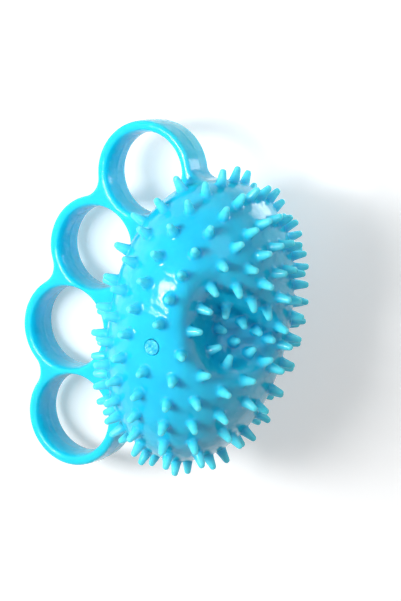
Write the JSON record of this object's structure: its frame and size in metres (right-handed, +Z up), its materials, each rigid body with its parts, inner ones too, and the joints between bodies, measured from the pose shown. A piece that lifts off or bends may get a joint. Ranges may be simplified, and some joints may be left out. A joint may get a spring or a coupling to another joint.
{
  "type": "hand grip strengthener",
  "caption": "Soft spiky squeeze ball joined to an arched row of finger loops, drawn in its squeezed shape, with a small air plug.",
  "frame": {"origin": "on the table, under the middle of the bounding box, with the part lying at rest on the spikes under its ball and on its third loop", "axes": "+X from the finger loops towards the thumb's side of the ball, +Y along the row of loops towards the first loop, +Z up"},
  "size_m": [0.0938, 0.1242, 0.0772],
  "materials": {
    "soft_pvc": "glossy soft PVC, cyan blue",
    "plug_pvc": "rough-faced PVC plug, cyan blue"
  },
  "bodies": {
    "ball": {"ball_skin_finger_side": "soft_pvc", "ball_skin_belt": "soft_pvc", "air_plug_socket": "soft_pvc", "loop_upper_foot": "soft_pvc", "loop_first_web": "soft_pvc", "loop_middle_web": "soft_pvc", "loop_last_web": "soft_pvc", "loop_lower_foot": "soft_pvc"},
    "thumb_side": {"ball_skin_thumb_side": "soft_pvc"},
    "finger_loops": {"finger_loop_first": "soft_pvc", "finger_loop_second": "soft_pvc", "finger_loop_third": "soft_pvc", "finger_loop_fourth": "soft_pvc"},
    "air_plug": {"air_plug": "plug_pvc"}
  },
  "joints": [
    {"name": "squeeze", "type": "slide", "parent": "ball", "child": "thumb_side", "axis": [0.8526, 0, 0.5225], "range_m": [-0.0015, 0.01], "stiffness_N_per_m": 1500, "deforming": ["ball_skin_belt"]},
    {"name": "loop_band_flex", "type": "hinge", "parent": "ball", "child": "finger_loops", "pos_m": [-0.01563, -0.00151, 0.03042], "axis": [-0.0023, 1, 0.0037], "range_deg": [0, 25], "stiffness_Nm_per_rad": 2.5, "deforming": ["loop_upper_foot", "loop_first_web", "loop_middle_web", "loop_last_web", "loop_lower_foot"]},
    {"name": "air_plug_pull", "type": "slide", "parent": "ball", "child": "air_plug", "axis": [-0.5225, -0.0044, 0.8526], "range_m": [0, 0.012]}
  ]
}
